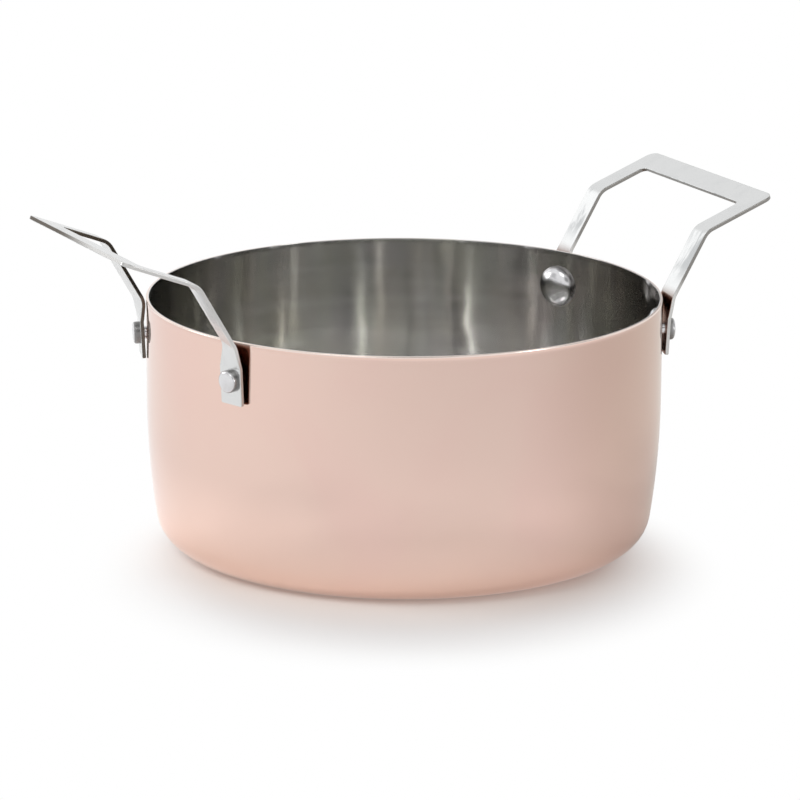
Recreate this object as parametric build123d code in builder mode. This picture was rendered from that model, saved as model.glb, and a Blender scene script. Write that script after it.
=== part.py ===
from build123d import *
from math import atan2, cos, radians, sin, sqrt
import os

# Copper jam pan: a lined copper body with two sheet handles, each held by two rivets
# The flat base stands on z = 0 around the origin, and the handles point along x and minus x

# Body of the pan
rim_radius = 100.0           # outside of the copper at the rim
pan_height = 97.0
copper_wall = 0.9
lining_wall = 0.3
belly_radius = 317.0         # gentle inward curve of the lower wall
belly_angle = 8.5            # degrees that this curve turns through
corner_radius = 12.7         # outside, between the wall and the flat base
rim_rounding = 0.45          # outer edge of the copper
lining_rounding = 0.15       # inner edge of the lining

# Tabs of the handles, which lie against the wall
sheet = 1.5
sheet_rounding = 0.3         # all along the edges of the sheet
tab_width = 11.0
tab_height = 20.6            # from the foot of a tab up to its bend
foot_depth = 23.7            # foot of the tab below the rim
foot_rounding = 0.8          # corners of the foot, in the plane of the tab
tab_lean_angle = 3.0         # degrees outwards from upright
tab_turn_angle = 18.0        # degrees from square to the handle towards lying on the wall
bend_turn_angle = 5.0        # what is left of that turn where the bend starts
twist_margin = 0.7           # flat left all round the rivet's head before the tab twists
tab_clearance = 0.1          # between the wall and the corner of the foot that bears on it

# Legs and grip, cut from the same sheet
leg_width = 9.6
leg_length = 26.7            # from the end of the tab's bend to the corner of the grip's bend
leg_lean_angle = 30.5        # degrees outwards from upright
tab_bend_radius = 8.0        # to the middle of the sheet
grip_bend_radius = 7.0       # to the middle of the sheet
grip_lift_angle = 21.0       # degrees above level
grip_length = 31.7           # from the corner of its bend to its outer edge
bar_width = 10.7
grip_rounding = 4.0          # outer corners of the grip
window_rounding = 2.4        # inner corners of the grip

# Rivets
rivet_spacing = 82.8         # between the two rivets of one handle
rivet_depth = 14.5           # below the rim
shank_radius = 2.5
hole_clearance = 0.05        # all round a shank
inner_head_radius = 8.2
inner_head_height = 4.4
inner_head_lip = 0.7
outer_head_radius = 4.3
outer_head_height = 2.7
outer_head_lip = 2.3
outer_head_rounding = 0.5
head_rounding = 0.3          # of an inner head
head_clearance = 0.03        # between an inner head and the lining

# Numbers of steps in which a strip twists above its rivet and then bends into its leg
twist_steps = 6
bend_steps = 8

# Places that follow from the sizes
inner_radius = rim_radius - copper_wall - lining_wall
belly_sine = sin(radians(belly_angle))
belly_cosine = cos(radians(belly_angle))
belly_top = belly_radius * belly_sine + corner_radius * (1 - belly_sine)
base_radius = rim_radius - belly_radius * (1 - belly_cosine) - corner_radius * belly_cosine
foot_z = pan_height - foot_depth
rivet_z = pan_height - rivet_depth
rivet_rise = (rivet_z - foot_z) / cos(radians(tab_lean_angle))    # up along the tab
flat_height = rivet_rise + outer_head_radius + twist_margin
upright = Vector(0, 0, 1)


# One skin of the pan, between two insets from its outside
def skin_section(outer_inset, inner_inset):
    with BuildSketch(Plane.XZ) as section:
        with BuildLine():
            for inset in (outer_inset, inner_inset):
                wall_x = rim_radius - inset
                Line((0, inset), (base_radius, inset))
                corner_centre = (base_radius, corner_radius)
                belly_centre = (rim_radius - belly_radius, belly_top)
                CenterArc(corner_centre, corner_radius - inset, -90, 90 - belly_angle)
                CenterArc(belly_centre, belly_radius - inset, -belly_angle, belly_angle)
                Line((wall_x, belly_top), (wall_x, pan_height))
            Line((rim_radius - outer_inset, pan_height), (rim_radius - inner_inset, pan_height))
            Line((0, outer_inset), (0, inner_inset))
        make_face()
    return section.sketch


# Directions of a strip of sheet: across it away from the handle's middle, up along it, and outwards
# The side is 1 for the strip at plus y and -1 for the one at minus y
def strip_directions(lean, turn, side):
    across = Vector(-sin(radians(turn)), side * cos(radians(turn)), 0)
    level = Vector(cos(radians(turn)), side * sin(radians(turn)), 0)
    up = level * sin(radians(lean)) + upright * cos(radians(lean))
    out = level * cos(radians(lean)) - upright * sin(radians(lean))
    return across, up, out


# Middle of the sheet at the foot of a tab, whose inner corner bears on the wall
def tab_foot(side):
    across, up, out = strip_directions(tab_lean_angle, tab_turn_angle, side)
    half_width = across * (tab_width / 2)
    corner_y = side * rivet_spacing / 2 - half_width.Y - up.Y * rivet_rise
    corner_x = sqrt((rim_radius + tab_clearance) ** 2 - corner_y**2)
    return Vector(corner_x, corner_y, foot_z) + half_width + out * (sheet / 2)


# Planes across a strip, from the flat of its tab through the twist and round the bend to its leg
def strip_planes(side):
    across, up, out = strip_directions(tab_lean_angle, tab_turn_angle, side)
    place = tab_foot(side) + up * flat_height
    planes = [Plane(origin=place, x_dir=across, z_dir=up)]
    lean = tab_lean_angle
    turn = tab_turn_angle
    bend_length = tab_bend_radius * radians(leg_lean_angle - tab_lean_angle)
    for length, steps, end_lean, end_turn in (
        (tab_height - flat_height, twist_steps, tab_lean_angle, bend_turn_angle),
        (bend_length, bend_steps, leg_lean_angle, 0),
    ):
        lean_step = (end_lean - lean) / steps
        turn_step = (end_turn - turn) / steps
        for number in range(steps):
            halfway_up = strip_directions(lean + lean_step / 2, turn + turn_step / 2, side)[1]
            place = place + halfway_up * (length / steps)
            lean = lean + lean_step
            turn = turn + turn_step
            across, up, out = strip_directions(lean, turn, side)
            planes.append(Plane(origin=place, x_dir=across, z_dir=up))
    return planes


# A rivet's axis out from the middle of the pan, and its seat on the outside of the tab
def rivet_place(side):
    up, out = strip_directions(tab_lean_angle, tab_turn_angle, side)[1:]
    centre = tab_foot(side) + up * rivet_rise + out * (sheet / 2)
    azimuth = atan2(centre.Y, centre.X)
    axis = Vector(cos(azimuth), sin(azimuth), 0)
    middle = upright * rivet_z
    seat = middle + axis * ((centre - middle).dot(out) / axis.dot(out))
    return axis, seat


# The same vector on the handle at plus x when end is 1, and on the one at minus x when it is -1
def at_end(vector, end):
    return Vector(end * vector.X, vector.Y, vector.Z)


# Planes on the wall at the four rivets, facing outwards
def wall_planes():
    planes = []
    for end in (1, -1):
        for side in (1, -1):
            axis = at_end(rivet_place(side)[0], end)
            planes.append(Plane(origin=upright * rivet_z + axis * rim_radius, z_dir=axis))
    return planes


os.makedirs("parts", exist_ok=True)

# Copper shell
with BuildPart() as copper_shell:
    revolve(skin_section(0, copper_wall), axis=Axis.Z)
    rim_edges = copper_shell.edges().filter_by(GeomType.CIRCLE).group_by(Axis.Z)[-1]
    fillet(rim_edges.sort_by(SortBy.RADIUS)[-1], rim_rounding)
    with BuildSketch(*wall_planes()) as shell_holes:
        Circle(shank_radius + hole_clearance)
    extrude(amount=shank_radius, both=True, mode=Mode.SUBTRACT)
copper_shell.part.label = "copper_shell"
export_step(copper_shell.part, "parts/copper_shell.step")

# Steel lining
with BuildPart() as steel_lining:
    revolve(skin_section(copper_wall, copper_wall + lining_wall), axis=Axis.Z)
    rim_edges = steel_lining.edges().filter_by(GeomType.CIRCLE).group_by(Axis.Z)[-1]
    fillet(rim_edges.sort_by(SortBy.RADIUS)[0], lining_rounding)
    with BuildSketch(*wall_planes()) as lining_holes:
        Circle(shank_radius + hole_clearance)
    extrude(amount=shank_radius, both=True, mode=Mode.SUBTRACT)
steel_lining.part.label = "steel_lining"
export_step(steel_lining.part, "parts/steel_lining.step")

# Handles
leg_start = strip_planes(1)[-1].origin
leg_y = leg_start.Y
leg_up = strip_directions(leg_lean_angle, 0, 1)[1]
grip_out = Vector(cos(radians(grip_lift_angle)), 0, sin(radians(grip_lift_angle)))
grip_up = Vector(-grip_out.Z, 0, grip_out.X)
bend_corner = leg_start + leg_up * leg_length
grip_end = bend_corner + grip_out * grip_length
frame_width = 2 * leg_y + leg_width
window_width = 2 * leg_y - leg_width
frame_length = leg_length + grip_length
grip_plane = Plane(origin=(grip_end.X, 0, grip_end.Z), x_dir=grip_out, z_dir=grip_up)

with BuildPart() as right_handle:
    # Legs and grip
    with BuildSketch(Plane.XZ):
        with BuildLine():
            FilletPolyline(
                (leg_start.X, leg_start.Z),
                (bend_corner.X, bend_corner.Z),
                (grip_end.X, grip_end.Z),
                radius=grip_bend_radius,
            )
        trace(line_width=sheet)
    extrude(amount=frame_width, both=True)
    with BuildSketch(grip_plane) as grip_frame:
        Rectangle(frame_length, frame_width, align=(Align.MAX, Align.CENTER))
        fillet(grip_frame.vertices().group_by(Axis.X)[-1], grip_rounding)
        with Locations((-bar_width, 0)):
            RectangleRounded(
                frame_length,
                window_width,
                window_rounding,
                align=(Align.MAX, Align.CENTER),
                mode=Mode.SUBTRACT,
            )
    extrude(amount=frame_length, both=True, mode=Mode.INTERSECT)
    bar_edges = right_handle.edges().filter_by(Axis.Y).sort_by(SortBy.LENGTH)[-4:]
    fillet(bar_edges, sheet_rounding)
    for side in (1, -1):
        # Flat of the tab
        across, up, out = strip_directions(tab_lean_angle, tab_turn_angle, side)
        flat_middle = tab_foot(side) + up * (flat_height / 2)
        with BuildSketch(Plane(origin=flat_middle, x_dir=up, z_dir=out)) as tab_face:
            Rectangle(flat_height, tab_width)
            fillet(tab_face.vertices().group_by(Axis.X)[0], foot_rounding)
        extrude(amount=sheet / 2, both=True)
        tab_edges = right_handle.edges(Select.LAST).filter_by(Axis((0, 0, 0), across))
        fillet(tab_edges.sort_by(Axis.Z)[:2], sheet_rounding)
        # Twist and bend between the flat of the tab and the leg
        planes = strip_planes(side)
        for plane in planes:
            rise_share = (plane.origin.Z - planes[0].origin.Z) / (leg_start.Z - planes[0].origin.Z)
            strip_width = tab_width + (leg_width - tab_width) * rise_share
            with BuildSketch(plane):
                RectangleRounded(strip_width, sheet, sheet_rounding)
        loft()
        # Hole for the rivet
        axis, seat = rivet_place(side)
        with BuildSketch(Plane(origin=seat, z_dir=axis)):
            Circle(shank_radius + hole_clearance)
        extrude(amount=tab_width, both=True, mode=Mode.SUBTRACT)
right_handle.part.label = "right_handle"
export_step(right_handle.part, "parts/right_handle.step")

with BuildPart() as left_handle:
    mirror(right_handle.part, about=Plane.YZ)
left_handle.part.label = "left_handle"
export_step(left_handle.part, "parts/left_handle.step")

# Rivets
for handle_name, end in (("right", 1), ("left", -1)):
    for place_name, side in (("back", 1), ("front", -1)):
        axis, seat = (at_end(vector, end) for vector in rivet_place(side))
        tab_directions = strip_directions(tab_lean_angle, tab_turn_angle, side)
        across, up, out = (at_end(vector, end) for vector in tab_directions)
        middle = upright * rivet_z
        with BuildPart() as rivet:
            # Domed head on the lining
            with BuildSketch(Plane(origin=middle, x_dir=axis, z_dir=axis.cross(upright))) as dome:
                with BuildLine():
                    crown = (inner_radius - inner_head_height, 0)
                    lip = (inner_radius - inner_head_lip, inner_head_radius)
                    TangentArc(crown, lip, tangent=(0, 1))
                    Line(lip, (inner_radius, inner_head_radius))
                    Line((inner_radius, inner_head_radius), (inner_radius, 0))
                    Line((inner_radius, 0), crown)
                make_face()
                fillet(dome.vertices().group_by(Axis.Y)[-1].sort_by(Axis.X)[0], head_rounding)
            revolve(axis=Axis(middle, axis))
            with Locations(middle):
                Cylinder(inner_radius - head_clearance, rim_radius, mode=Mode.INTERSECT)
            # Button head square to the tab
            with BuildSketch(Plane(origin=seat, x_dir=out, z_dir=out.cross(across))) as button:
                with BuildLine():
                    crown = (outer_head_height, 0)
                    lip = (outer_head_lip, outer_head_radius)
                    TangentArc(crown, lip, tangent=(0, 1))
                    Line(lip, (0, outer_head_radius))
                    Line((0, outer_head_radius), (0, 0))
                    Line((0, 0), crown)
                make_face()
                button_corner = button.vertices().group_by(Axis.Y)[-1].sort_by(Axis.X)[-1]
                fillet(button_corner, outer_head_rounding)
            revolve(axis=Axis(seat, out))
            # Shank
            shank_start = middle + axis * (inner_radius - inner_head_lip)
            shank_end = seat + axis * (outer_head_lip / 2)
            with BuildSketch(Plane(origin=shank_start, z_dir=axis)):
                Circle(shank_radius)
            extrude(amount=(shank_end - shank_start).length)
        rivet.part.label = f"rivet_{handle_name}_{place_name}"
        export_step(rivet.part, f"parts/{rivet.part.label}.step")
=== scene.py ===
from math import cos, pi, radians, sin

import bpy
from mathutils import Matrix, Vector


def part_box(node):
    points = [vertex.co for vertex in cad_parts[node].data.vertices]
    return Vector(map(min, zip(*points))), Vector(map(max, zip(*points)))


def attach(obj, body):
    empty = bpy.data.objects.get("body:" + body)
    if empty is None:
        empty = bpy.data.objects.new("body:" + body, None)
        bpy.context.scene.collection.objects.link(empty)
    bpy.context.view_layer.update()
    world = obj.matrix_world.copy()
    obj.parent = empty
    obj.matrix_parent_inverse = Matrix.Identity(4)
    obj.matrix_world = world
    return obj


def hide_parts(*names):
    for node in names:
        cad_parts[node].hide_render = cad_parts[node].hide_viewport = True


# Copper jam pan with a steel lining and two sheet handles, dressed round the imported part
# Metres, the flat base stands on z = 0 and the handles point along x and minus x

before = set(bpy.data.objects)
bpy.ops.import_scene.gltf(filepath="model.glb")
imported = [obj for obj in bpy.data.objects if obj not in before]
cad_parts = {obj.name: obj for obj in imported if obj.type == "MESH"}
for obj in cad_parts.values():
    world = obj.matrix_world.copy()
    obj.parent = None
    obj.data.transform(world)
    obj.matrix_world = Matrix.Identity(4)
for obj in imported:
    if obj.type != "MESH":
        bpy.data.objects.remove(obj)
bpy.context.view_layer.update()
scene = bpy.context.scene
millimetre = 0.001
white = (1, 1, 1, 1)


# A socket that takes part in sums
class Wire:
    def __init__(self, graph, socket):
        self.graph = graph
        self.socket = socket

    def maths(self, operation, *others):
        return self.graph.maths(operation, self, *others)

    def __add__(self, other):
        return self.maths("ADD", other)

    __radd__ = __add__

    def __sub__(self, other):
        return self.maths("SUBTRACT", other)

    def __rsub__(self, other):
        return self.graph.maths("SUBTRACT", other, self)

    def __mul__(self, other):
        return self.maths("MULTIPLY", other)

    __rmul__ = __mul__

    def __truediv__(self, other):
        return self.maths("DIVIDE", other)

    def __rtruediv__(self, other):
        return self.graph.maths("DIVIDE", other, self)

    def __gt__(self, other):
        return self.maths("GREATER_THAN", other)

    # A noise, which lies about 0.5, as a swing about zero
    def swing(self, size):
        return (self - 0.5) * size


# Adds nodes to one tree, whether it makes a material or a mesh
class Graph:
    def __init__(self, tree):
        self.tree = tree

    def node(self, kind, settings=None, links=None, output=0):
        made = self.tree.nodes.new(kind)
        for name, value in (settings or {}).items():
            setattr(made, name, value)
        for name, value in (links or {}).items():
            socket = made.inputs[name]
            if isinstance(value, (Wire, list)):
                for wire in value if isinstance(value, list) else [value]:
                    self.tree.links.new(wire.socket, socket)
            else:
                socket.default_value = value
        self.last = made
        return Wire(self, made.outputs[output]) if made.outputs else None

    def maths(self, operation, *values):
        return self.node("ShaderNodeMath", {"operation": operation}, dict(enumerate(values)))

    def sine(self, value):
        return self.maths("SINE", value)

    def cosine(self, value):
        return self.maths("COSINE", value)

    def size(self, value):
        return self.maths("ABSOLUTE", value)

    def length(self, x, y):
        return self.maths("SQRT", x * x + y * y)

    def least(self, value, other):
        return self.maths("MINIMUM", value, other)

    def most(self, value, other):
        return self.maths("MAXIMUM", value, other)

    def between(self, value, low, high):
        return self.least(self.most(value, low), high)

    # 0 below the first value, 1 above the second, with a soft step between them
    def step(self, value, low, high):
        settings = {"interpolation_type": "SMOOTHSTEP"}
        return self.node("ShaderNodeMapRange", settings, {"Value": value, "From Min": low, "From Max": high})

    def objectPlace(self):
        return self.node("ShaderNodeTexCoord", output=3)

    def objectNormal(self):
        return self.node("ShaderNodeTexCoord", output=1)

    def parts(self, vector):
        self.node("ShaderNodeSeparateXYZ", None, {"Vector": vector})
        return [Wire(self, socket) for socket in self.last.outputs]

    def vector(self, x, y, z):
        return self.node("ShaderNodeCombineXYZ", None, {"X": x, "Y": y, "Z": z})

    def stretched(self, vector, factors):
        return self.node("ShaderNodeVectorMath", {"operation": "MULTIPLY"}, {0: vector, 1: factors})

    def noise(self, place, scale, detail=2.0, roughness=0.5, distortion=0.0):
        values = {
            "Vector": place,
            "Scale": scale,
            "Detail": detail,
            "Roughness": roughness,
            "Distortion": distortion,
        }
        return self.node("ShaderNodeTexNoise", None, values)

    def blend(self, share, first, second):
        return self.node("ShaderNodeMix", {"data_type": "RGBA"}, {0: share, 6: first, 7: second}, output=2)

    def light(self, strength):
        return self.node("ShaderNodeEmission", None, {"Color": white, "Strength": strength})


# Camera where the photograph was taken, turned round the pan by its azimuth
photoView = {
    "lens": 202.5,
    "sensor": 36.0,
    "clip": (0.05, 50.0),
    "distance": 1.74234,          # from the middle of the mouth
    "azimuth": -27.0,
    "elevation": 13.3378,
    "downAngle": 14.6872,
    "yawAngle": -0.0504,
    "rollAngle": 0.2694,
}


def makeCamera(view, mouthHeight):
    cameraData = bpy.data.cameras.new("photoCamera")
    cameraData.lens = view["lens"]
    cameraData.sensor_width = view["sensor"]
    cameraData.clip_start, cameraData.clip_end = view["clip"]
    camera = bpy.data.objects.new("photoCamera", cameraData)
    scene.collection.objects.link(camera)
    elevation = radians(view["elevation"])
    back = view["distance"] * cos(elevation)
    rise = view["distance"] * sin(elevation)
    place = Matrix.Translation(Vector((0, -back, mouthHeight + rise)))
    yaw = Matrix.Rotation(-radians(view["yawAngle"]), 4, "Z")
    tilt = Matrix.Rotation(pi / 2 - radians(view["downAngle"]), 4, "X")
    roll = Matrix.Rotation(radians(view["rollAngle"]), 4, "Z")
    turn = Matrix.Rotation(radians(view["azimuth"]), 4, "Z")
    camera.matrix_world = turn @ place @ yaw @ tilt @ roll
    scene.camera = camera


# Point round the pan at an angle from the photograph's side, growing to the photograph's right
def aroundPan(angle, distance, height):
    turned = radians(photoView["azimuth"] + angle)
    return Vector((sin(turned) * distance, -cos(turned) * distance, height))


# White studio: the camera and the metal see plain white round the pan, and the rest of the light is softer
studio = {
    "worldLight": 0.40,           # what the world gives to everything else
    "bounces": 24,                # light is mirrored many times between the walls of the pan
}


def lightRays(graph):
    graph.node("ShaderNodeLightPath")
    rays = {socket.name: Wire(graph, socket) for socket in graph.last.outputs}
    return rays["Is Camera Ray"], graph.most(rays["Is Glossy Ray"], rays["Is Transmission Ray"])


def makeWorld():
    world = bpy.data.worlds.new("whiteStudio")
    world.use_nodes = True
    world.node_tree.nodes.clear()
    graph = Graph(world.node_tree)
    seen, mirrored = lightRays(graph)
    strength = studio["worldLight"] + (1 - studio["worldLight"]) * graph.most(seen, mirrored)
    light = graph.node("ShaderNodeBackground", None, {"Color": white, "Strength": strength})
    graph.node("ShaderNodeOutputWorld", None, {"Surface": light})
    scene.world = world


def newMaterial(name):
    material = bpy.data.materials.new(name)
    material.use_nodes = True
    material.node_tree.nodes.clear()
    return material, Graph(material.node_tree)


def ring(radius, height, corners):
    turns = [2 * pi * number / corners for number in range(corners)]
    return [Vector((cos(turn) * radius, sin(turn) * radius, height)) for turn in turns]


def stagePlane(name, corners, material):
    mesh = bpy.data.meshes.new(name)
    mesh.from_pydata(corners, [], [tuple(range(len(corners)))])
    mesh.materials.append(material)
    plane = bpy.data.objects.new(name, mesh)
    scene.collection.objects.link(plane)
    return plane


# A card is seen by the metal alone
def hideCard(plane):
    plane.visible_camera = False
    plane.visible_diffuse = False
    plane.visible_shadow = False


# The floor takes the pan's shadow, and a little light of its own keeps it pale
# The copper mirrors it, so its light for the metal sets how the wall is shaded round the pan
floorLook = {
    "radius": 6.0,
    "corners": 64,
    "shade": 0.80,
    "plainTint": (1.0, 1.0, 1.0),
    "copperGlow": (1.0, 0.93, 0.88),    # painted copper glow next to the pan
    "glowReach": (0.085, 0.135),
    "lightSeen": 0.10,            # its own light for the camera near the pan
    "lightMirrored": 0.145,       # and for the metal
    "lightNear": 0.14,            # more of it next to the pan
    "nearReach": (0.11, 0.21),
    "nearFacing": (-0.9, 0.1),    # not behind the pan
    "dimAngle": 125,              # less of it on this side
    "dimFacing": (0.1, 1.0),
    "dimMirrored": 0.14,
    "dimNear": 0.45,
    "dimTint": (1.0, 0.98, 0.93),
    "whiteSeen": (0.070, 0.132),  # distances over which it turns plain white for the camera
    "seenMiddle": 0.045,          # this far towards the photograph's side
    "seenSpread": 1.06,           # and a little sooner sideways
    "whiteMirrored": (0.40, 0.90),
}


def floorTone(tintName):
    return tuple(floorLook["shade"] * share for share in floorLook[tintName]) + (1,)


def makeFloor():
    material, graph = newMaterial("paleFloor")
    x, y = graph.parts(graph.objectPlace())[:2]
    reach = graph.length(x, y)
    seen, mirrored = lightRays(graph)

    def towards(angle):
        side = aroundPan(angle, 1, 0)
        return x * side.x + y * side.y

    # Plain white, beyond an oval for the camera and beyond a circle for the metal
    forwards = towards(0) - floorLook["seenMiddle"]
    sideways = towards(90) * floorLook["seenSpread"]
    plain = seen * graph.step(graph.length(forwards, sideways), *floorLook["whiteSeen"])
    plain = plain + mirrored * graph.step(reach, *floorLook["whiteMirrored"])

    # Its own light, for the metal more next to the pan and less on the dim side
    darker = graph.step(towards(floorLook["dimAngle"]) / reach, *floorLook["dimFacing"])
    facing = graph.step(towards(0) / reach, *floorLook["nearFacing"])
    close = (1 - graph.step(reach, *floorLook["nearReach"])) * facing * floorLook["lightNear"]
    close = close * (1 - darker * floorLook["dimNear"])
    own = floorLook["lightMirrored"] + close - darker * floorLook["dimMirrored"]
    glow = seen * floorLook["lightSeen"] + mirrored * own

    # Painted shade on the dim side, and painted copper glow next to the pan
    tone = graph.blend(darker, floorTone("plainTint"), floorTone("dimTint"))
    tone = graph.blend(graph.step(reach, *floorLook["glowReach"]), floorTone("copperGlow"), tone)
    shade = graph.node("ShaderNodeBsdfDiffuse", None, {"Color": tone})
    paper = graph.node("ShaderNodeAddShader", None, {0: shade, 1: graph.light(glow)})
    surface = graph.node("ShaderNodeMixShader", None, {0: plain, 1: paper, 2: graph.light(1.0)})
    graph.node("ShaderNodeOutputMaterial", None, {"Surface": surface})
    stagePlane("studioFloor", ring(floorLook["radius"], 0, floorLook["corners"]), material)


# Grey cards with soft edges, which the lining mirrors as dark bands
cards = {
    "cameraCard": {"angle": 5, "distance": 1.9, "width": 1.7, "heights": (0.6, 2.2), "shade": 0.30},
    "rightCard": {"angle": 85, "distance": 1.7, "width": 0.9, "heights": (0.2, 1.6), "shade": 0.15},
    "backCard": {"angle": 172, "distance": 1.8, "width": 0.5, "heights": (0.35, 1.6), "shade": 0.20},
    "leftCard": {"angle": -75, "distance": 1.7, "width": 0.7, "heights": (0.3, 1.2), "shade": 0.55},
}
cardEdge = (0.45, 1.0)            # shares of its half width and height over which a card fades out


def makeCard(name, card):
    middle = aroundPan(card["angle"], card["distance"], 0)
    along = middle.normalized().cross(Vector((0, 0, 1))) * (card["width"] / 2)
    low, high = (Vector((0, 0, height)) for height in card["heights"])
    material, graph = newMaterial(name)
    x, y, z = graph.parts(graph.objectPlace())
    across = graph.size((x * along.x + y * along.y) / along.length_squared)
    above = graph.size((z - (low.z + high.z) / 2) / ((high.z - low.z) / 2))
    solid = (1 - graph.step(across, *cardEdge)) * (1 - graph.step(above, *cardEdge))
    clear = graph.node("ShaderNodeBsdfTransparent")
    surface = graph.node("ShaderNodeMixShader", None, {0: solid, 1: clear, 2: graph.light(card["shade"])})
    graph.node("ShaderNodeOutputMaterial", None, {"Surface": surface})
    corners = [middle - along + low, middle + along + low, middle + along + high, middle - along + high]
    hideCard(stagePlane(name, corners, material))


# A round card overhead, which the floor of the pan mirrors
ceiling = {"height": 1.7, "radius": 0.85, "shade": 0.45, "corners": 48}


def makeCeiling():
    material, graph = newMaterial("ceilingCard")
    graph.node("ShaderNodeOutputMaterial", None, {"Surface": graph.light(ceiling["shade"])})
    corners = ring(ceiling["radius"], ceiling["height"], ceiling["corners"])
    hideCard(stagePlane("ceilingCard", corners[::-1], material))


# The key and the top lamp only shade the floor, and the metal mirrors the others
lamps = {
    "keyLamp": {"angle": -70, "rise": 52, "distance": 1.15, "size": (0.8, 0.8), "power": 4.6},
    "topLamp": {"angle": -172, "rise": 58, "distance": 1.3, "size": (0.5, 0.5), "power": 5.6},
    "backLamp": {"angle": -130, "rise": 22, "distance": 1.5, "size": (0.45, 0.8), "power": 0.5},
    "leftLamp": {"angle": -99, "rise": 18, "distance": 1.5, "size": (0.26, 0.5), "power": 1.4},
    "sideLamp": {"angle": 57, "rise": 18, "distance": 1.5, "size": (0.24, 0.5), "power": 2.0},
    "highLamp": {"angle": -30, "rise": 55, "distance": 1.3, "size": (0.5, 0.5), "power": 1.1},
}
unmirrored = ("keyLamp", "topLamp")
lampTarget = Vector((0, 0, 0.05))


def makeLamp(name, lamp):
    lampData = bpy.data.lights.new(name, "AREA")
    lampData.shape = "RECTANGLE"
    lampData.size, lampData.size_y = lamp["size"]
    lampData.energy = lamp["power"]
    lampObject = bpy.data.objects.new(name, lampData)
    rise = radians(lamp["rise"])
    place = aroundPan(lamp["angle"], lamp["distance"] * cos(rise), lamp["distance"] * sin(rise))
    lampObject.location = place
    lampObject.rotation_euler = (lampTarget - place).to_track_quat("-Z", "Y").to_euler()
    lampObject.visible_camera = False
    lampObject.visible_glossy = name not in unmirrored
    scene.collection.objects.link(lampObject)


print("studio: camera, world, floor, lamps and cards")
scene.view_settings.view_transform = "Standard"
scene.cycles.max_bounces = studio["bounces"]
scene.cycles.glossy_bounces = studio["bounces"]
makeCamera(photoView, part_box("copper_shell")[1].z)
makeWorld()
makeFloor()
for lampName, lamp in lamps.items():
    makeLamp(lampName, lamp)
for cardName, card in cards.items():
    makeCard(cardName, card)
makeCeiling()


# What both trees for turned metal share
meshing = {
    "closing": 0.002 * millimetre,    # points nearer than this become one
    "sharpBend": radians(50),         # an edge that bends more stays sharp
}


# A tree for a mesh, with inputs named by their kind
def newTree(name, inputs):
    tree = bpy.data.node_groups.new(name, "GeometryNodeTree")
    tree.interface.new_socket("Geometry", in_out="OUTPUT", socket_type="NodeSocketGeometry")
    for kind, inputNames in inputs.items():
        for inputName in inputNames:
            tree.interface.new_socket(inputName, in_out="INPUT", socket_type="NodeSocket" + kind)
    graph = Graph(tree)
    graph.node("NodeGroupInput")
    return graph, {socket.name: Wire(graph, socket) for socket in graph.last.outputs}


def closeMesh(graph, mesh):
    values = {"Geometry": mesh, "Distance": meshing["closing"]}
    return graph.node("GeometryNodeMergeByDistance", None, values)


def finishTree(graph, mesh, metal):
    smooth = {"Geometry": mesh, "Shade Smooth": True}
    mesh = graph.node("GeometryNodeSetShadeSmooth", {"domain": "FACE"}, smooth)
    bend = graph.node("GeometryNodeInputMeshEdgeAngle")
    sharp = {"Geometry": mesh, "Selection": bend > meshing["sharpBend"], "Shade Smooth": False}
    mesh = graph.node("GeometryNodeSetShadeSmooth", {"domain": "EDGE"}, sharp)
    mesh = graph.node("GeometryNodeRealizeInstances", None, {"Geometry": mesh})
    mesh = graph.node("GeometryNodeSetMaterial", None, {"Geometry": mesh, "Material": metal})
    graph.node("NodeGroupOutput", None, {"Geometry": mesh})
    return graph.tree


# A tree's result as a plain mesh that stands for its CAD node
def makePiece(name, tree, values, nodeName, slotName):
    piece = bpy.data.objects.new(name, bpy.data.meshes.new(name))
    scene.collection.objects.link(piece)
    modifier = piece.modifiers.new(tree.name, "NODES")
    modifier.node_group = tree
    for item in tree.interface.items_tree:
        if item.in_out == "INPUT":
            modifier[item.identifier] = values[item.name]
    bpy.context.view_layer.update()
    made = piece.evaluated_get(bpy.context.evaluated_depsgraph_get())
    mesh = bpy.data.meshes.new_from_object(made)
    piece.modifiers.remove(modifier)
    piece.data = mesh
    mesh.name = name
    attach(piece, "root")
    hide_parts(nodeName)


# The two skins of the pan, each turned from one section that is closed at the middle of the base
panBody = {
    "cornerRadius": 12.7 * millimetre,
    "bellyRadius": 317.0 * millimetre,
    "bellyAngle": radians(8.5),
    "roundSteps": 240,
    "wallSteps": 96,
    "edgeSteps": 4,
    "waveDepth": 0.05 * millimetre,
    "waveSize": 45 * millimetre,
    "waveDetail": 1.0,
    "waveFadeLow": 25 * millimetre,      # along the section from the edge of the flat base
}
skins = {
    "pan_copper": {
        "node": "copper_shell",
        "slot": "copper",
        "insets": (0.0, 0.9 * millimetre),
        "roundings": (0.45 * millimetre, 0.0),
    },
    "pan_lining": {
        "node": "steel_lining",
        "slot": "lining_steel",
        "insets": (0.9 * millimetre, 1.2 * millimetre),
        "roundings": (0.0, 0.15 * millimetre),
    },
}
skinInputs = {
    "Float": ("Rim radius", "Height", "Corner radius", "Belly radius", "Outer inset", "Inner inset",
              "Outer rounding", "Inner rounding", "Wave depth", "Wave size"),
    "Material": ("Metal",),
}


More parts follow.
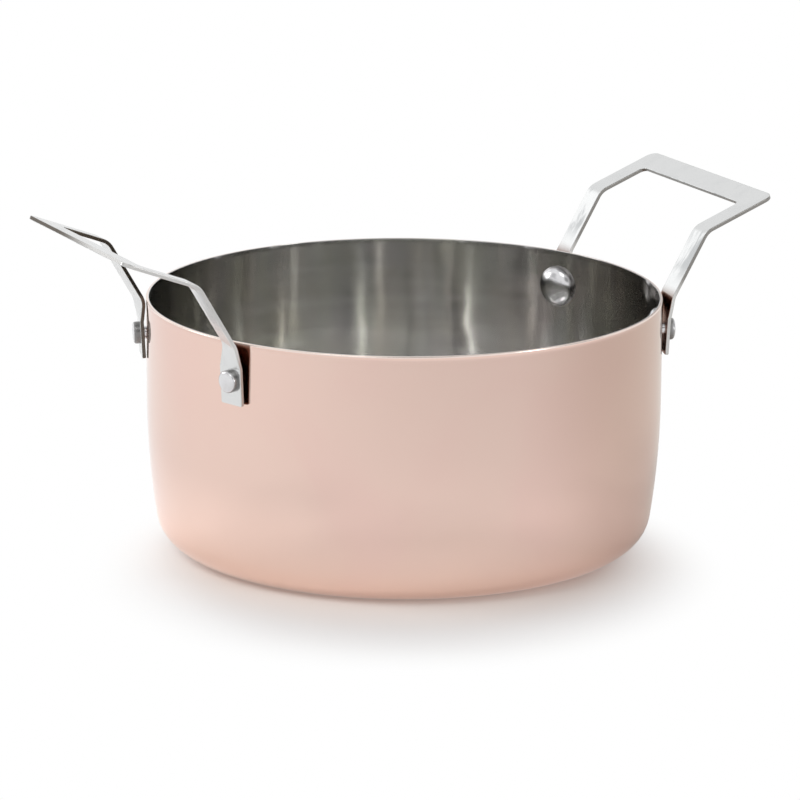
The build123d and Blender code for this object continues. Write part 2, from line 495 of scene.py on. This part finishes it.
# Place on the section at a length along its outside, as distance from the axis and height
def sectionPoint(graph, length, inset, size):
    angle = panBody["bellyAngle"]
    cornerEnd = size["baseRadius"] + size["corner"] * (pi / 2 - angle)
    bellyEnd = cornerEnd + size["belly"] * angle
    cornerTurn = graph.between((length - size["baseRadius"]) / size["corner"], 0, pi / 2 - angle)
    bellyTurn = graph.between((length - cornerEnd) / size["belly"], 0, angle)
    left = angle - bellyTurn
    corner = size["corner"] - inset
    belly = size["belly"] - inset
    flat = graph.least(length, size["baseRadius"])
    wall = graph.most(length - bellyEnd, 0)
    reach = flat + corner * graph.sine(cornerTurn) + belly * (graph.cosine(left) - cos(angle))
    rise = inset + corner * (1 - graph.cosine(cornerTurn)) + belly * (sin(angle) - graph.sine(left)) + wall
    return reach, rise


def skinTree():
    graph, given = newTree("turnedSkin", skinInputs)
    wallSteps, edgeSteps, roundSteps = panBody["wallSteps"], panBody["edgeSteps"], panBody["roundSteps"]
    rows = 2 * wallSteps + 2 * edgeSteps + 1
    grid = {"Size X": 1.0, "Size Y": 1.0, "Vertices X": roundSteps + 1, "Vertices Y": rows + 1}
    mesh = graph.node("GeometryNodeMeshGrid", None, grid)
    across, along = graph.parts(graph.node("GeometryNodeInputPosition"))[:2]
    turn = (across + 0.5) * (2 * pi)
    row = (along + 0.5) * rows

    angle = panBody["bellyAngle"]
    size = {"corner": given["Corner radius"], "belly": given["Belly radius"]}
    size["baseRadius"] = given["Rim radius"] - size["belly"] * (1 - cos(angle)) - size["corner"] * cos(angle)
    bellyTop = size["belly"] * sin(angle) + size["corner"] * (1 - sin(angle))
    curved = size["corner"] * (pi / 2 - angle) + size["belly"] * angle
    whole = size["baseRadius"] + curved + given["Height"] - bellyTop

    # Both sides of the section share the wave of the metal, which fades out on the flat base
    outerShare = graph.between(row / wallSteps, 0, 1)
    innerShare = graph.between((rows - row) / wallSteps, 0, 1)
    outerLength = outerShare * (whole - given["Outer rounding"])
    innerLength = innerShare * (whole - given["Inner rounding"])
    inside = row > wallSteps + edgeSteps + 0.5
    length = outerLength + (innerLength - outerLength) * inside
    aroundX = graph.cosine(turn) * given["Rim radius"]
    aroundY = graph.sine(turn) * given["Rim radius"]
    wavePlace = graph.vector(aroundX, aroundY, length)
    wave = graph.noise(wavePlace, 1 / given["Wave size"], panBody["waveDetail"]) * given["Wave depth"]
    wave = wave * graph.step(length - size["baseRadius"], 0, panBody["waveFadeLow"])

    outerReach, outerRise = sectionPoint(graph, outerLength, given["Outer inset"] + wave, size)
    innerReach, innerRise = sectionPoint(graph, innerLength, given["Inner inset"] + wave, size)
    outerTurn = graph.between((row - wallSteps) / edgeSteps, 0, 1) * (pi / 2)
    innerTurn = graph.between((row - (wallSteps + edgeSteps + 1)) / edgeSteps, 0, 1) * (pi / 2)
    outerReach = outerReach - given["Outer rounding"] * (1 - graph.cosine(outerTurn))
    outerRise = outerRise + given["Outer rounding"] * graph.sine(outerTurn)
    innerReach = innerReach + given["Inner rounding"] * (1 - graph.sine(innerTurn))
    innerRise = innerRise + given["Inner rounding"] * graph.cosine(innerTurn)
    reach = outerReach + (innerReach - outerReach) * inside
    rise = outerRise + (innerRise - outerRise) * inside
    place = graph.vector(reach * graph.cosine(turn), reach * graph.sine(turn), rise)

    mesh = graph.node("GeometryNodeSetPosition", None, {"Geometry": mesh, "Position": place})
    return finishTree(graph, closeMesh(graph, mesh), given["Metal"])


def makeSkin(name, skin, tree, metal):
    low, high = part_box("copper_shell")
    values = {
        "Rim radius": min(high.x, high.y, -low.x, -low.y),
        "Height": high.z,
        "Corner radius": panBody["cornerRadius"],
        "Belly radius": panBody["bellyRadius"],
        "Outer inset": skin["insets"][0],
        "Inner inset": skin["insets"][1],
        "Outer rounding": skin["roundings"][0],
        "Inner rounding": skin["roundings"][1],
        "Wave depth": panBody["waveDepth"],
        "Wave size": panBody["waveSize"],
        "Metal": metal,
    }
    makePiece(name, tree, values, skin["node"], skin["slot"])


# Rivets: a flat button on the tab, a large dome on the lining and the shank between them
rivet = {
    "headRadius": 4.3 * millimetre,
    "headHeight": 2.65 * millimetre,
    "headPower": 0.36,               # 1 is a round dome, less is flatter with steeper sides
    "domeRadius": 8.2 * millimetre,
    "domeHeight": 4.35 * millimetre,
    "domePower": 0.86,
    "domeReach": 98.8 * millimetre,  # base of the dome from the pan's axis
    "shankRadius": 2.5 * millimetre,
    "shankSteps": 32,
    "shankExtra": 2 * millimetre,    # so that it runs into both heads
    "seat": Vector((93.58, 41.86, 82.5)) * millimetre,
    "lean": radians(3.0),            # of the tab
    "turn": radians(18.0),
    "dentDepth": 0.10 * millimetre,
    "dentSize": 3.4 * millimetre,
    "dentDetail": 1.0,
    "dentSink": 0.3,                 # share of their depth by which dents lower a head all over
    "dentOffset": (0.31, 0.17),      # from rivet to rivet, so that no two are alike
    "aroundSteps": 64,
    "riseSteps": 26,
}
rivetInputs = {
    "Float": ("Head radius", "Head height", "Head power", "Dome radius", "Dome height", "Dome power",
              "Shank radius", "Shank length", "Dent depth", "Dent size"),
    "Vector": ("Head place", "Head axis", "Dome place", "Dome axis", "Shank place", "Shank axis",
               "Dent offset"),
    "Material": ("Metal",),
}


# Stands a mesh on its place with its z along its axis
def placePart(graph, mesh, part, given):
    axis = {"Vector": given[part + " axis"]}
    facing = graph.node("FunctionNodeAlignRotationToVector", {"axis": "Z"}, axis)
    place = {"Geometry": mesh, "Translation": given[part + " place"], "Rotation": facing}
    return graph.node("GeometryNodeTransform", None, place)


def rivetTree():
    graph, given = newTree("turnedRivet", rivetInputs)

    # The first row is the middle of the base, and the others climb from its edge to the crown
    rows = rivet["riseSteps"]
    grid = {"Size X": 1.0, "Size Y": 1.0, "Vertices X": rivet["aroundSteps"] + 1, "Vertices Y": rows + 2}
    across, along = graph.parts(graph.node("GeometryNodeInputPosition"))[:2]
    turn = (across + 0.5) * (2 * pi)
    row = (along + 0.5) * (rows + 1)
    climb = graph.between((row - 1) / rows, 0, 1) * (pi / 2)
    placed = []
    for part in ("Head", "Dome"):
        power = given[part + " power"]
        reach = given[part + " radius"] * graph.maths("POWER", graph.most(graph.cosine(climb), 0), power)
        reach = reach * (row > 0.5)
        rise = given[part + " height"] * graph.maths("POWER", graph.sine(climb), power)
        spot = graph.vector(reach * graph.cosine(turn), reach * graph.sine(turn), rise)
        moved = graph.node("ShaderNodeVectorMath", {"operation": "ADD"}, {0: spot, 1: given["Dent offset"]})
        dent = graph.noise(moved, 1 / given["Dent size"], rivet["dentDetail"]).swing(given["Dent depth"])
        dent = dent * (rise / given[part + " height"])
        dent = dent - given["Dent depth"] * rivet["dentSink"] * (row > 1.5)
        spot = graph.vector(reach * graph.cosine(turn), reach * graph.sine(turn), rise + dent)
        mesh = graph.node("GeometryNodeMeshGrid", None, grid)
        mesh = graph.node("GeometryNodeSetPosition", None, {"Geometry": mesh, "Position": spot})
        placed.append(placePart(graph, closeMesh(graph, mesh), part, given))
    shank = {"Vertices": rivet["shankSteps"], "Radius": given["Shank radius"], "Depth": given["Shank length"]}
    placed.append(placePart(graph, graph.node("GeometryNodeMeshCylinder", None, shank), "Shank", given))
    mesh = graph.node("GeometryNodeJoinGeometry", None, {"Geometry": placed})
    return finishTree(graph, mesh, given["Metal"])


# End is 1 for the handle at plus x and -1 for the other, side is 1 for the rivet at plus y
def makeRivet(name, end, side, tree, metal):
    seat = Vector((end * rivet["seat"].x, side * rivet["seat"].y, rivet["seat"].z))
    level = Vector((end * cos(rivet["turn"]), side * sin(rivet["turn"]), 0))
    headAxis = level * cos(rivet["lean"]) - Vector((0, 0, 1)) * sin(rivet["lean"])
    axis = Vector((seat.x, seat.y, 0)).normalized()
    domePlace = Vector((0, 0, seat.z)) + axis * rivet["domeReach"]
    offsetX, offsetY = rivet["dentOffset"]
    values = {
        "Head radius": rivet["headRadius"],
        "Head height": rivet["headHeight"],
        "Head power": rivet["headPower"],
        "Dome radius": rivet["domeRadius"],
        "Dome height": rivet["domeHeight"],
        "Dome power": rivet["domePower"],
        "Shank radius": rivet["shankRadius"],
        "Shank length": (seat - domePlace).length + rivet["shankExtra"],
        "Dent depth": rivet["dentDepth"],
        "Dent size": rivet["dentSize"],
        "Head place": list(seat),
        "Head axis": list(headAxis),
        "Dome place": list(domePlace),
        "Dome axis": list(-axis),
        "Shank place": list((seat + domePlace) / 2),
        "Shank axis": list(axis),
        "Dent offset": [offsetX * end, offsetY * side, 0.0],
        "Metal": metal,
    }
    makePiece("turned_" + name, tree, values, name, "rivet_steel")


# Lines that run round the pan, on the wall and on the base alike
def roundLines(graph, place, density, stretch):
    x, y, z = graph.parts(place)
    return graph.vector(x * stretch, y * stretch, (z + graph.length(x, y)) * density)


def finishMetal(material, graph, colour, roughness, height, depth, extra=None):
    normal = graph.node("ShaderNodeBump", None, {"Strength": 1.0, "Distance": depth, "Height": height})
    values = {"Base Color": colour, "Metallic": 1.0, "Roughness": roughness, "Normal": normal}
    values.update(extra or {})
    surface = graph.node("ShaderNodeBsdfPrincipled", None, values)
    graph.node("ShaderNodeOutputMaterial", None, {"Surface": surface})
    return material


# Scale, detail and roughness of a noise whose place is already stretched
fineNoise = (1.0, 3.0, 0.6)
softNoise = (1.0, 2.0, 0.5)

# Polished copper, with painted warm shade low down, fine polishing lines round the pan and a painted
# highlight on the rim
copper = {
    "pale": (0.785, 0.585, 0.512, 1),
    "rosy": (0.780, 0.565, 0.500, 1),
    "warmToneAndShade": (0.750, 0.545, 0.455, 1),
    "paintedRimHighlight": (0.860, 0.740, 0.680, 1),
    "clouds": (14.0, 3.0, 0.5, 0.6),     # scale, detail, roughness and distortion of a noise
    "blotches": (55.0, 4.0, 0.6),
    "lines": (3200, 30),                 # density up the wall, and stretch round it
    "wideLines": (420, 18),
    "rosyFrom": (0.40, 0.62),
    # painted warm shade low down on the wall, up to this height
    "baseShadeTop": 0.055,
    "baseShadeWaver": 0.03,
    "baseShadeShare": 0.7,
    "blotchShare": 0.25,
    "rimDepths": (0.8 * millimetre, 0.4 * millimetre),
    "rimHighlightShare": 0.9,
    "roughness": 0.045,
    "uneven": 0.03,                      # swing of the roughness
    "rimRoughness": 0.15,
    "lineShare": 0.6,                    # of the fine lines in the relief
    "relief": 0.002 * millimetre,
}


def copperMaterial():
    material, graph = newMaterial("polishedCopper")
    place = graph.objectPlace()
    z = graph.parts(place)[2]
    clouds = graph.noise(place, *copper["clouds"])
    blotches = graph.noise(place, *copper["blotches"])
    lines = graph.noise(roundLines(graph, place, *copper["lines"]), *fineNoise)
    wideLines = graph.noise(roundLines(graph, place, *copper["wideLines"]), *softNoise)
    # Painted warm shade low down on the wall, mixed with warm blotches that differ at random
    low = 1 - graph.step(z + clouds * copper["baseShadeWaver"], 0.0, copper["baseShadeTop"])
    colour = graph.blend(graph.step(clouds, *copper["rosyFrom"]), copper["pale"], copper["rosy"])
    toneAndShadeShare = graph.between(low * copper["baseShadeShare"] + blotches.swing(copper["blotchShare"]), 0, 1)
    colour = graph.blend(toneAndShadeShare, colour, copper["warmToneAndShade"])
    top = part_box("copper_shell")[1].z
    # Painted highlight along the rim, which is also rougher
    rim = graph.step(z, *(top - depth for depth in copper["rimDepths"]))
    colour = graph.blend(rim * copper["rimHighlightShare"], colour, copper["paintedRimHighlight"])
    roughness = copper["roughness"] + clouds.swing(copper["uneven"]) + wideLines.swing(copper["uneven"])
    roughness = roughness + rim * copper["rimRoughness"]
    height = lines * copper["lineShare"] + wideLines * (1 - copper["lineShare"])
    return finishMetal(material, graph, colour, roughness, height, copper["relief"])


# Spun steel that smears what it mirrors up and down the wall, with faint tints
lining = {
    "steel": (0.648, 0.648, 0.640, 1),
    "rosy": (0.670, 0.640, 0.634, 1),
    "straw": (0.664, 0.660, 0.618, 1),
    "stain": (0.606, 0.604, 0.590, 1),
    "clouds": (22.0, 3.0, 0.55, 0.8),
    "tints": (17.0, 2.0, 0.5, 0.5),
    "waves": (38.0, 1.0, 0.4, 0.4),
    "lines": (2600, 30),
    "bands": (260, 14),
    "strawFrom": (0.50, 0.64),
    "rosyUpTo": (0.36, 0.50),
    "stainFrom": (0.45, 0.75),
    "stainShare": 0.8,
    "roughness": 0.10,
    "bandUneven": 0.08,
    "cloudUneven": 0.06,
    "lineShare": 0.012,
    "relief": 0.25 * millimetre,
    "smear": 0.9,
    "smearTurn": 0.25,
}


def liningMaterial():
    material, graph = newMaterial("spunLining")
    place = graph.objectPlace()
    clouds = graph.noise(place, *lining["clouds"])
    lines = graph.noise(roundLines(graph, place, *lining["lines"]), *fineNoise)
    bands = graph.noise(roundLines(graph, place, *lining["bands"]), *softNoise)
    waves = graph.noise(place, *lining["waves"])
    tints = graph.noise(place, *lining["tints"])
    colour = graph.blend(graph.step(tints, *lining["strawFrom"]), lining["steel"], lining["straw"])
    colour = graph.blend(1 - graph.step(tints, *lining["rosyUpTo"]), colour, lining["rosy"])
    stained = graph.step(clouds, *lining["stainFrom"]) * lining["stainShare"]
    colour = graph.blend(stained, colour, lining["stain"])
    roughness = lining["roughness"] + bands.swing(lining["bandUneven"]) + clouds.swing(lining["cloudUneven"])
    height = lines * lining["lineShare"] + waves * (1 - lining["lineShare"])
    extra = {"Anisotropic": lining["smear"], "Anisotropic Rotation": lining["smearTurn"]}
    return finishMetal(material, graph, colour, roughness, height, lining["relief"], extra)


# Satin sheet with sheared edges, told apart by where a face looks and where it lies, with painted shade and
# reflection on some edges and on the faces of the tabs towards the pan
handleSteel = {
    "steel": (0.690, 0.697, 0.697, 1),
    "handled": (0.585, 0.597, 0.602, 1),
    "patch": (0.430, 0.440, 0.445, 1),       # worn and dulled on the legs
    "cutSide": (0.580, 0.572, 0.560, 1),     # sheared edges along the legs and arms
    "paintedWindowShade": (0.200, 0.195, 0.187, 1),      # painted dark reflection on the sheared edges along the window
    "scale": (0.085, 0.070, 0.055, 1),       # painted shade on the edges of one tab
    "paintedBackShade": (0.170, 0.085, 0.055, 1),    # painted shade and copper reflection on the face of a tab towards the pan
    "grain": (900.0, 2.0, 0.6),
    "brushing": (160, 900, 160),
    "smudges": (75.0, 4.0, 0.6, 1.0),
    "patches": (48.0, 3.0, 0.55, 0.4),
    "patchStretch": (1, 2.2, 0.8),
    "sideFacing": (0.5, 0.75),               # how far an edge looks sideways
    "barFacing": (0.08, 0.22),
    "windowFacing": (0.0, 0.5),
    "footFacing": (0.96, 0.985),
    "backFacing": (0.55, 0.75),
    "legFacing": (0.60, 0.80),
    "backHeights": (0.094, 0.100),
    "legHeights": (0.100, 0.108),
    "edgeHeights": (0.098, 0.104),
    "edgeShadeLean": 0.6,
    "edgeShadeFrom": (0.060, 0.100),             # on the far tab of the left handle
    "wornFrom": (0.120, 0.140),              # on the near one, whose leg edges are left without painted shade
    "legEdgeShade": 0.6,
    "handledFrom": (0.45, 0.8),
    "handledShare": 0.35,
    "patchFrom": (0.47, 0.60),
    "cutShare": 0.9,
    "backShadeShare": 0.95,
    "roughness": 0.24,
    "uneven": 0.12,
    "cutRoughness": 0.26,
    "brushShare": 0.7,
    "relief": 0.0008 * millimetre,
}


def handleMaterial():
    material, graph = newMaterial("satinSheet")
    place = graph.objectPlace()
    x, y, z = graph.parts(place)
    alongX, alongY, alongZ = graph.parts(graph.objectNormal())
    upright = graph.size(alongZ)
    outwards = graph.maths("SIGN", x) * alongX
    inwards = outwards * -1

    # Sheared edges, and the face of each tab towards the pan, which gets painted shade and copper reflection
    sideEdge = graph.step(graph.size(alongY), *handleSteel["sideFacing"])
    barEdge = graph.step(outwards * alongZ, *handleSteel["barFacing"])
    windowEdge = barEdge * graph.step(inwards, *handleSteel["windowFacing"])
    foot = graph.step(upright, *handleSteel["footFacing"])
    cut = graph.most(graph.most(sideEdge, barEdge), foot)
    tabBackShade = graph.step(inwards, *handleSteel["backFacing"])
    tabBackShade = tabBackShade * (1 - graph.step(z, *handleSteel["backHeights"]))

    legs = graph.step(z, *handleSteel["legHeights"]) * (1 - graph.step(upright, *handleSteel["legFacing"]))
    patches = graph.noise(graph.stretched(place, handleSteel["patchStretch"]), *handleSteel["patches"])
    patches = graph.step(patches, *handleSteel["patchFrom"]) * legs

    # Painted shade darkens the edges of one tab, and the edges of the legs except on the near side of the
    # left handle
    scale = graph.step(y - x * handleSteel["edgeShadeLean"], *handleSteel["edgeShadeFrom"])
    # The near side of the left handle, where the leg edges are left without painted shade
    worn = graph.step(x * -1 - y, *handleSteel["wornFrom"])
    legEdge = graph.step(z, *handleSteel["edgeHeights"]) * sideEdge
    scale = graph.most(scale, legEdge * (1 - worn) * handleSteel["legEdgeShade"])

    smudges = graph.noise(place, *handleSteel["smudges"])
    handled = graph.step(smudges, *handleSteel["handledFrom"]) * handleSteel["handledShare"]
    colour = graph.blend(handled, handleSteel["steel"], handleSteel["handled"])
    colour = graph.blend(patches, colour, handleSteel["patch"])
    colour = graph.blend(cut * handleSteel["cutShare"], colour, handleSteel["cutSide"])
    # Painted dark reflection on the edges of the window that face in towards the pan
    colour = graph.blend(windowEdge * handleSteel["cutShare"], colour, handleSteel["paintedWindowShade"])
    # Painted shade on the edges picked out above
    colour = graph.blend(cut * scale, colour, handleSteel["scale"])
    # Painted shade and copper reflection on the face of each tab towards the pan
    colour = graph.blend(tabBackShade * handleSteel["backShadeShare"], colour, handleSteel["paintedBackShade"])
    roughness = handleSteel["roughness"] + smudges.swing(handleSteel["uneven"])
    roughness = roughness + cut * (handleSteel["cutRoughness"] - handleSteel["roughness"])
    grain = graph.noise(place, *handleSteel["grain"])
    brushed = graph.noise(graph.stretched(place, handleSteel["brushing"]), *softNoise)
    height = brushed * handleSteel["brushShare"] + grain * (1 - handleSteel["brushShare"])
    return finishMetal(material, graph, colour, roughness, height, handleSteel["relief"])


# Polished rivet steel, with painted shade where a head meets the metal under it
rivetSteel = {
    "steel": (0.700, 0.698, 0.712, 1),
    "worn": (0.560, 0.553, 0.560, 1),
    "creaseShade": (0.150, 0.145, 0.140, 1),
    "scratches": (900.0, 4.0, 0.65, 2.0),
    "smudges": (160.0, 3.0, 0.6, 0.5),
    "wornFrom": (0.4, 0.8),
    "wornShare": 0.5,
    "creaseShadeFrom": (0.86, 0.99),               # shares of the head's radius
    "creaseShadeShare": 0.85,
    "roughness": 0.19,
    "smudgeUneven": 0.12,
    "scratchUneven": 0.06,
    "creaseRoughness": 0.1,
    "scratchShare": 0.6,
    "relief": 0.01 * millimetre,
}


def rivetMaterial():
    material, graph = newMaterial("polishedRivet")
    place = graph.objectPlace()
    x, y, z = graph.parts(place)
    axis = Vector((rivet["seat"].x, rivet["seat"].y, 0)).normalized()
    wide, deep = graph.size(x), graph.size(y)
    beside = deep * axis.x - wide * axis.y
    above = z - rivet["seat"].z
    outside = wide * axis.x + deep * axis.y > rivet["domeReach"] + millimetre
    edge = rivet["domeRadius"] + (rivet["headRadius"] - rivet["domeRadius"]) * outside
    creaseShade = graph.step(graph.length(beside, above) / edge, *rivetSteel["creaseShadeFrom"])
    scratches = graph.noise(place, *rivetSteel["scratches"])
    smudges = graph.noise(place, *rivetSteel["smudges"])
    worn = graph.step(smudges, *rivetSteel["wornFrom"]) * rivetSteel["wornShare"]
    colour = graph.blend(worn, rivetSteel["steel"], rivetSteel["worn"])
    # Painted shade round the edge of each head, where it meets the metal under it
    colour = graph.blend(creaseShade * rivetSteel["creaseShadeShare"], colour, rivetSteel["creaseShade"])
    roughness = rivetSteel["roughness"] + creaseShade * rivetSteel["creaseRoughness"]
    roughness = roughness + smudges.swing(rivetSteel["smudgeUneven"])
    roughness = roughness + scratches.swing(rivetSteel["scratchUneven"])
    height = scratches * rivetSteel["scratchShare"] + smudges * (1 - rivetSteel["scratchShare"])
    return finishMetal(material, graph, colour, roughness, height, rivetSteel["relief"])


def dressNode(name, material):
    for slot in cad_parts[name].material_slots:
        slot.material = material


print("pan: copper and lining")
tree = skinTree()
makeSkin("pan_copper", skins["pan_copper"], tree, copperMaterial())
makeSkin("pan_lining", skins["pan_lining"], tree, liningMaterial())
print("handles")
sheetSteel = handleMaterial()
for side in ("left", "right"):
    dressNode(f"{side}_handle", sheetSteel)
print("rivets")
tree = rivetTree()
rivetMetal = rivetMaterial()
for handleName, end in (("right", 1), ("left", -1)):
    for placeName, side in (("back", 1), ("front", -1)):
        makeRivet(f"rivet_{handleName}_{placeName}", end, side, tree, rivetMetal)
